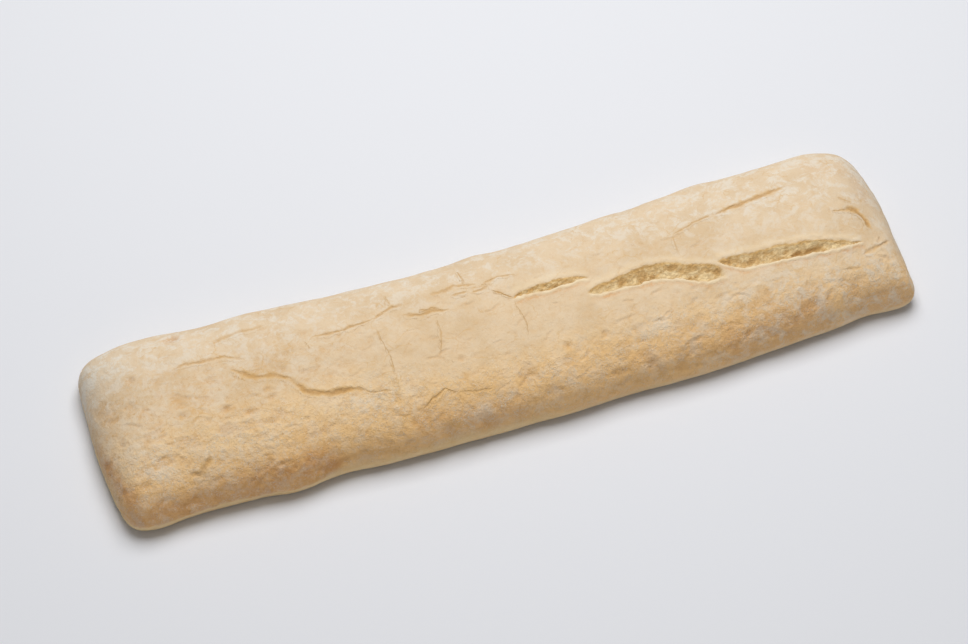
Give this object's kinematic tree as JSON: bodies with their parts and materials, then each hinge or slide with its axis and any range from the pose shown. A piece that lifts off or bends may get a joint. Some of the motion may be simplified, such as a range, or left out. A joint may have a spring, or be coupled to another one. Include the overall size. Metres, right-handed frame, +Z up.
{
  "type": "focaccia loaf",
  "caption": "Long, flat floured focaccia loaf with a low crown, rounded corners, a flat base and a crust split open along the middle.",
  "frame": {"origin": "middle of the loaf's box, on the flat base it lies on", "axes": "+X along the loaf, towards the end with the large splits; +Y across it, towards the drawn-in side; +Z up"},
  "size_m": [0.4482, 0.1122, 0.0367],
  "materials": {
    "crust": "matte floured crust"
  },
  "bodies": {
    "root": {"loaf": "crust"}
  },
  "joints": []
}
